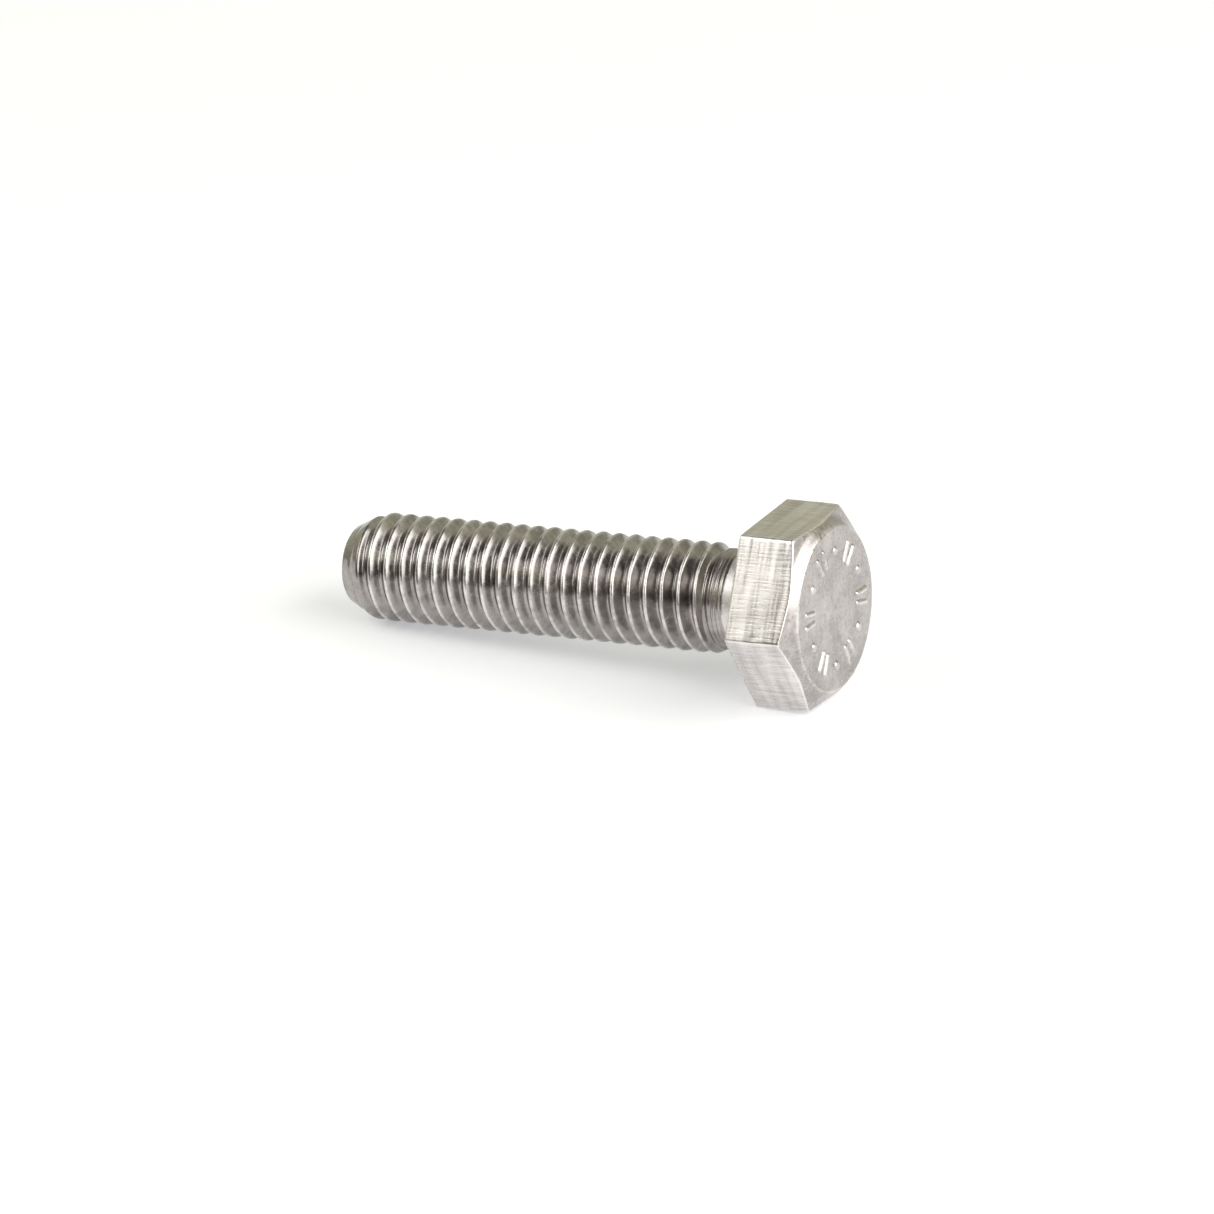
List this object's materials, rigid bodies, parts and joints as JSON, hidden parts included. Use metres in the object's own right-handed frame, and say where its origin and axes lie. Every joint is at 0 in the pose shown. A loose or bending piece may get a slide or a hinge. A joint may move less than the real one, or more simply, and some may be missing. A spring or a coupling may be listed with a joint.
{
  "type": "hex bolt",
  "caption": "Hexagon-head bolt threaded to just under its head, which clamps parts with a nut or in a tapped hole and is turned by a spanner or socket.",
  "frame": {"origin": "centre of the bearing face under the head, on the bolt's axis", "axes": "+X along the axis from the bearing face towards the head's end face, so the thread points to -X; +Z square to one of the six flats, so two flats face straight up and down; +Y to a corner of the hexagon"},
  "size_m": [0.0291, 0.0114, 0.0098],
  "materials": {
    "steel": "plain stainless steel: satin head with fine drawing streaks and small nicks, brighter rolled thread"
  },
  "bodies": {
    "root": {"bolt": "steel"}
  },
  "joints": []
}
